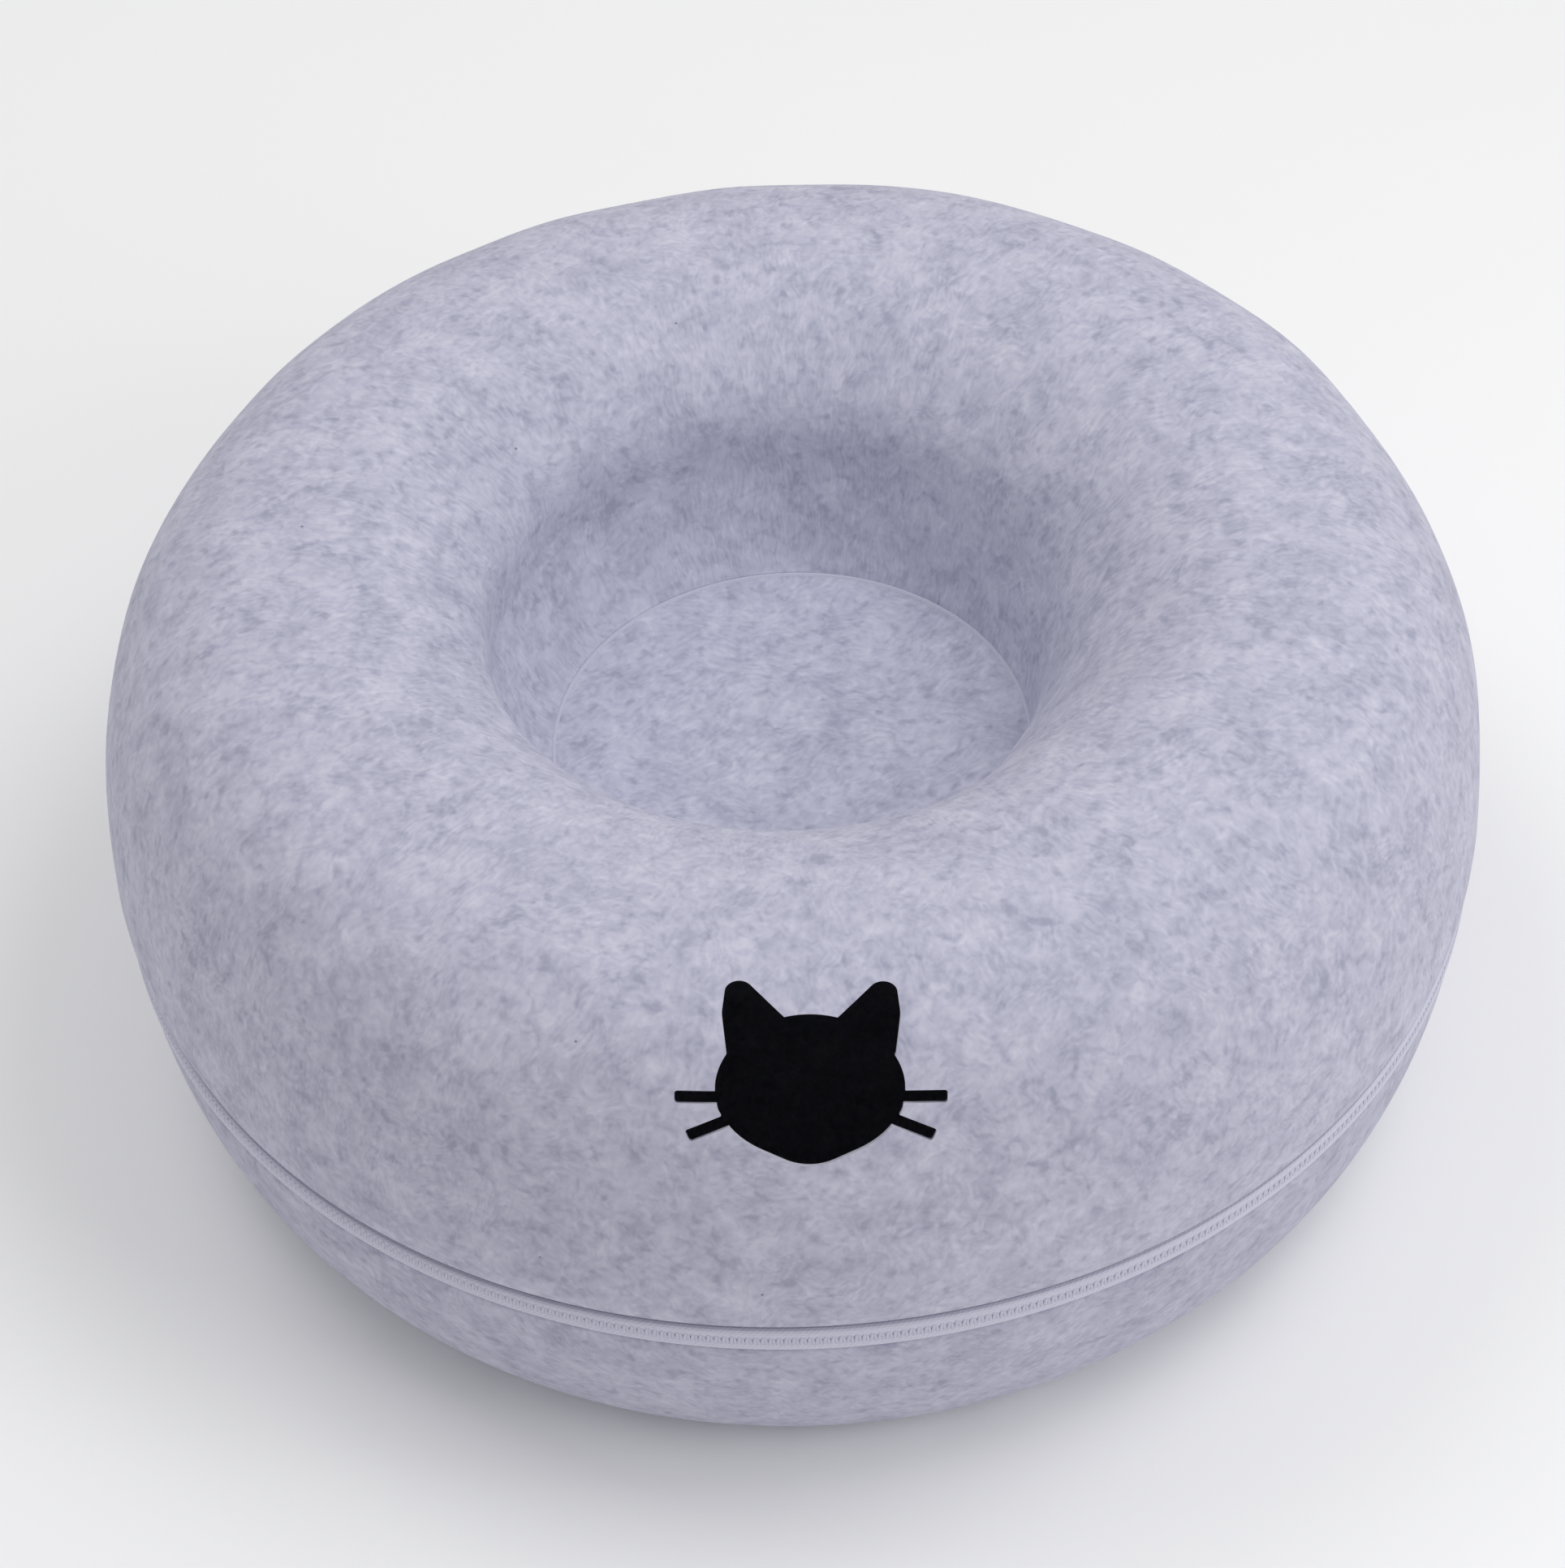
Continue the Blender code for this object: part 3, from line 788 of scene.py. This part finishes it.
# %% Nest floor
RIM_PRESS = 0.35 * MM  # the seam presses the disc this far into the wall
RIM_TOP = NEST_RADIUS + SEAM_ROOM  # the radius at which the bead is highest
FLOOR_RIM = RIM_TOP + RIM_PRESS
FLOOR_DISH = 2.5 * MM  # how far the middle sinks
RIM_ROLL = 1.3 * MM  # the bead's own radius
RIM_TURNS = (-0.28 * math.pi, 0.1 * math.pi)  # the bead's two ends, as turns from straight up
floor_top = [
    (share * FLOOR_RIM, NEST_FLOOR_HEIGHT - FLOOR_DISH * (1.0 - share**2))
    for share in np.linspace(0.0, 0.95, 20)
]
rim_round = [
    (
        RIM_TOP + RIM_ROLL * math.sin(angle),
        NEST_FLOOR_HEIGHT - RIM_ROLL + (RIM_PROUD + RIM_ROLL) * math.cos(angle),
    )
    for angle in np.linspace(*RIM_TURNS, 7)
]
floor_under = [(radius, height - FELT) for radius, height in floor_top[::-1]]
floor_corner = [(FLOOR_RIM, NEST_FLOOR_HEIGHT - FELT)]
nest_floor = turned_skin("nest_felt", floor_top + rim_round + floor_corner + floor_under, 240)
weld(nest_floor.data, closed=True)
for finish in (floor_face, rim_with_painted_highlight):
    nest_floor.data.materials.append(finish)
# the bead's faces take the paler felt: painted highlight along the floor's edge
for face in nest_floor.data.polygons:
    face.material_index = int(math.hypot(*face.center.xy) > FLOOR_RIM - RIM_ROLL)
smooth(nest_floor, math.radians(60.0))
print("nest floor faces:", len(nest_floor.data.polygons))

# %% [markdown]
# ## The zip
# A nylon coil zip: two woven tapes, and on the meeting edge of each a coil whose turns lock
# into the other's. The upper tape bulges out below the felt, so it takes the light from above
# and shows as a pale band.

# %% Tape sections
TAPE = 0.5 * MM
TAPE_FACE = 249.5 * MM  # the radius at which the weave's scale is true


def rounded(points, turns=3):
    """Corner-cut line: each pass replaces every corner by two points on its sides."""
    for _ in range(turns):
        new = [points[0]]
        for a, b in zip(points, points[1:]):
            new.append((0.75 * a[0] + 0.25 * b[0], 0.75 * a[1] + 0.25 * b[1]))
            new.append((0.25 * a[0] + 0.75 * b[0], 0.25 * a[1] + 0.75 * b[1]))
        points = new + [points[-1]]
    return points


def tape_ring(name, line):
    """Closed ring of tape behind its outer line."""
    line = [(radius * MM, height * MM) for radius, height in rounded(line)]
    skin = turned_skin(name, line, STEPS)
    tape = skin.modifiers.new("tape", "SOLIDIFY")
    tape.thickness = TAPE
    tape.offset = -1.0
    return settle(skin)


upper_tape = tape_ring(
    "tape_upper",
    [
        (247.3, 113.0),
        (246.0, 106.0),
        (246.3, 103.6),
        (247.9, 102.5),
        (249.4, 102.7),
        (250.4, 102.3),
        (250.6, 100.8),
        (250.3, 99.2),
        (250.1, 98.2),
        (250.0, 97.2),
    ],
)
lower_tape = tape_ring(
    "tape_lower",
    [
        (250.0, 96.8),
        (250.05, 95.4),
        (250.35, 93.9),
        (250.5, 92.7),
        (250.0, 91.8),
        (248.4, 91.6),
        (245.2, 91.6),
        (244.6, 89.0),
        (244.6, 83.4),
    ],
)
print("points of the upper tape moved:", uneven_edge(upper_tape, TAPE_FALL))
print("tape faces:", len(upper_tape.data.polygons), len(lower_tape.data.polygons))

# %% [markdown]
# The tape is polyester, woven in a fine twill about 0.5 mm from thread to thread. The render
# can't show that, so the ribs are drawn at 1 mm, along the tape, with a slant across them. A
# woven tape is smoother than felt, so it has a faint sheen and slightly lower roughness.


# %% Woven tape
RIB = 1.0 * MM
TAPE_FUZZ = 3.0 * MM


def woven_tape(name, light, dark):
    """Ribs along the tape and slanting picks across them, with a little fuzz."""
    material, shader = start_material(name)
    measures = add(material, "SeparateXYZ", {0: add(material, "UVMap", uv_map="run")[0]})
    circumference = 2.0 * math.pi * TAPE_FACE
    around = add(material, "Math", {0: measures[0], 1: circumference}, operation="MULTIPLY")[0]
    metres = add(material, "CombineXYZ", {0: around, 1: measures[1]})[0]
    # at a scale of 1, the wave node's bands are 2 pi / 20 apart
    sockets = {"Vector": metres, "Scale": 2.0 * math.pi / (20.0 * RIB), "Distortion": 0.5}
    ribs = add(material, "TexWave", sockets, bands_direction="Y")[1]
    picks = add(material, "TexWave", sockets, bands_direction="DIAGONAL")[1]
    weave = add(material, "Math", {0: picks, 1: 0.4}, operation="MULTIPLY")[0]
    weave = add(material, "Math", {0: ribs, 1: 0.6, 2: weave}, operation="MULTIPLY_ADD")[0]
    fuzz = cloud(material, metres, TAPE_FUZZ, detail=3.0)[0]
    tone = add(material, "Math", {0: fuzz, 1: 0.5, 2: weave}, operation="MULTIPLY_ADD")[0]
    tone = add(material, "MapRange", {0: tone, 1: 0.2, 2: 1.3})[0]
    tint = add(material, "Mix", {0: tone, 6: linear(dark), 7: linear(light)}, data_type="RGBA")[2]
    material.node_tree.links.new(tint, shader.inputs["Base Color"])
    relief = add(material, "Bump", {"Strength": 0.4, "Distance": 0.25 * MM, "Height": weave})[0]
    material.node_tree.links.new(relief, shader.inputs["Normal"])
    shader.inputs["Roughness"].default_value = 0.75
    shader.inputs["Sheen Weight"].default_value = 0.1
    return material


tape_weave = woven_tape("woven polyester tape", "d6d6e5", "c0c0d2")
for tape in (upper_tape, lower_tape):
    tape.data.materials.append(tape_weave)
    cut(tape, [way_in], 0)
    smooth(tape, math.radians(50.0))
    print(tape.name, "faces:", len(tape.data.polygons))

# %% [markdown]
# Each coil is one nylon thread wound in turns 2.6 mm apart and sewn to the edge of its tape. A
# turn shows as a short rounded bar. The bars of the upper coil hang down between those of the
# lower one, half a turn on.

# %% Coil
COIL_RADIUS = 250.05 * MM
COIL_TOP, COIL_BOTTOM = 98.9 * MM, 93.9 * MM
TURNS = 604  # 2.6 mm apart
BAR_LENGTH, BAR_WIDTH, BAR_DEPTH = 4.4 * MM, 1.3 * MM, 0.62 * MM
UPPER_PROUD = 0.12 * MM  # the upper coil's turns lie a little over the lower one's
BAR_SQUARENESS = 0.7  # 1 is an ellipsoid, and less is squarer
BAR_LEAN = 0.12  # sideways, as a share of the length
BAR_ROOM = 1.5 * MM  # between the last bars and the rim of the way in


def coil_bars():
    """Both coils in one mesh: one squared ball, stretched and turned into place for each bar."""
    template = bmesh.new()
    bmesh.ops.create_icosphere(template, subdivisions=2, radius=0.5)
    shape = np.array([vertex.co for vertex in template.verts])
    corners = [[vertex.index for vertex in face.verts] for face in template.faces]
    template.free()
    # each coordinate is pushed out towards its end
    shape = np.sign(shape) * 0.5 * np.abs(2.0 * shape) ** BAR_SQUARENESS
    points, faces = [], []
    for turn in range(2 * TURNS):
        angle = math.pi * turn / TURNS
        upper = turn % 2 == 0
        radius = COIL_RADIUS + (UPPER_PROUD if upper else 0.0)
        x, y = radius * math.cos(angle), radius * math.sin(angle)
        middle = COIL_TOP - 0.5 * BAR_LENGTH if upper else COIL_BOTTOM + 0.5 * BAR_LENGTH
        off_entrance = math.hypot(x, middle - ENTRANCE_HEIGHT) - ENTRANCE_RADIUS
        if y > 0.0 and off_entrance < BAR_ROOM:
            continue
        outward = np.array([math.cos(angle), math.sin(angle), 0.0])
        sideways = np.array([-math.sin(angle), math.cos(angle), 0.0])
        lean = BAR_LEAN * BAR_LENGTH * shape[:, 2:] * (1.0 if upper else -1.0)
        bar = (
            np.array([x, y, middle])
            + shape[:, :1] * BAR_DEPTH * outward
            + (shape[:, 1:2] * BAR_WIDTH + lean) * sideways
            + shape[:, 2:] * BAR_LENGTH * np.array([0.0, 0.0, 1.0])
        )
        first = len(points)
        points += bar.tolist()
        faces += [[first + i for i in corner] for corner in corners]
    mesh = bpy.data.meshes.new("coil")
    mesh.from_pydata(points, [], faces)
    mesh.shade_smooth()
    obj = bpy.data.objects.new("coil", mesh)
    bpy.context.scene.collection.objects.link(obj)
    return obj


coil = coil_bars()
print("coil faces:", len(coil.data.polygons))

# %% [markdown]
# Nylon monofilament is a tough clear plastic, dyed to match the felt and drawn smooth. It has a
# soft highlight. Light wear from the slider varies its roughness between 0.35 and 0.6.


# %% Nylon
WEAR_SIZE = 4.0 * MM


def drawn_nylon(name, colour, shade):
    """Smooth dyed thread, a little darker and glossier where it isn't worn."""
    material, shader = start_material(name)
    place = add(material, "TexCoord")["Object"]
    wear = add(material, "TexNoise", {"Vector": place, "Scale": 1.0 / WEAR_SIZE, "Detail": 3.0})[0]
    tint = add(material, "Mix", {0: wear, 6: linear(shade), 7: linear(colour)}, data_type="RGBA")[2]
    material.node_tree.links.new(tint, shader.inputs["Base Color"])
    gloss = add(material, "MapRange", {0: wear, 3: 0.35, 4: 0.6})[0]
    material.node_tree.links.new(gloss, shader.inputs["Roughness"])
    shader.inputs["IOR"].default_value = 1.53
    return material


coil.data.materials.append(drawn_nylon("drawn nylon", "c8c8d9", "bcbccf"))
print("the coil is made of:", coil.data.materials[0].name)

# %% [markdown]
# ## What stands for what
# Every piece rides on the one rigid body and replaces its CAD solid, which is hidden.

# %% Roles
for piece, node, slot in (
    (upper_shell, "upper_shell", "felt"),
    (nest_floor, "nest_floor", "felt"),
    (lower_shell, "lower_shell", "felt"),
    (upper_tape, "zip_tape_upper", "zip_tape"),
    (lower_tape, "zip_tape_lower", "zip_tape"),
    (coil, "zip_chain", "zip_chain"),
):
    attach(piece, "root")
    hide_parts(node)
for cutter in [way_in] + head:
    bpy.data.objects.remove(cutter)

# %% [markdown]
# ## Floor and light
# A plain pale floor and soft studio light. Most of the light comes evenly from all sides, as in
# a white tent. Two softboxes at the right and one behind at the left give the felt its slow shade.


# %% Floor
FLOOR_HALF = 6.0  # metres
FLOOR_DROP = 0.2 * MM  # keeps the floor and the bed's base from lying in one plane


def pale_floor():
    """A wide board, painted matt white and faintly mottled."""
    mesh = bpy.data.meshes.new("floor")
    corners = [(-1, -1), (1, -1), (1, 1), (-1, 1)]
    mesh.from_pydata([(FLOOR_HALF * x, FLOOR_HALF * y, 0) for x, y in corners], [], [(0, 1, 2, 3)])
    floor = bpy.data.objects.new("floor", mesh)
    floor.location.z = -FLOOR_DROP
    bpy.context.scene.collection.objects.link(floor)
    material, shader = start_material("matt painted board")
    place = add(material, "TexCoord")["Object"]
    mottle = add(material, "TexNoise", {"Vector": place, "Scale": 3.0, "Detail": 2.0})[0]
    whites = {0: mottle, 6: linear("fafafb"), 7: linear("fdfdfd")}
    tint = add(material, "Mix", whites, data_type="RGBA")[2]
    material.node_tree.links.new(tint, shader.inputs["Base Color"])
    shader.inputs["Roughness"].default_value = 0.9
    floor.data.materials.append(material)
    return floor


pale_floor()
print("the floor is, in m across:", 2.0 * FLOOR_HALF)


# %% Light
LAMP_DISTANCE = 2.2
LAMP_SIZE = 1.0
LAMP_AIM = Vector((0.0, 0.0, 0.1))  # the middle of the bed
TENT_BRIGHTNESS = 0.517


def softbox(name, around, rise, watts):
    """Square area light, around degrees from the front towards +X and rise degrees up."""
    around, rise = math.radians(around), math.radians(rise)
    level = math.cos(rise)
    towards = Vector((math.sin(around) * level, -math.cos(around) * level, math.sin(rise)))
    lamp = bpy.data.lights.new(name, "AREA")
    lamp.size = LAMP_SIZE
    lamp.energy = watts
    obj = bpy.data.objects.new(name, lamp)
    obj.location = LAMP_DISTANCE * towards + LAMP_AIM
    obj.rotation_euler = (-towards).to_track_quat("-Z", "Y").to_euler()
    bpy.context.scene.collection.objects.link(obj)


softbox("softbox above the right", 90.0, 65.0, 11.7)
softbox("softbox at the right", 60.0, 35.0, 9.2)
softbox("softbox above and behind, left", 240.0, 65.0, 8.5)
world = bpy.data.worlds.new("white tent")
world.use_nodes = True
background = world.node_tree.nodes["Background"]
background.inputs["Color"].default_value = linear("ffffff")
background.inputs["Strength"].default_value = TENT_BRIGHTNESS
bpy.context.scene.world = world
bpy.context.scene.view_settings.view_transform = "Standard"
print("lamps in W:", {lamp.name: round(lamp.energy, 1) for lamp in bpy.data.lights})
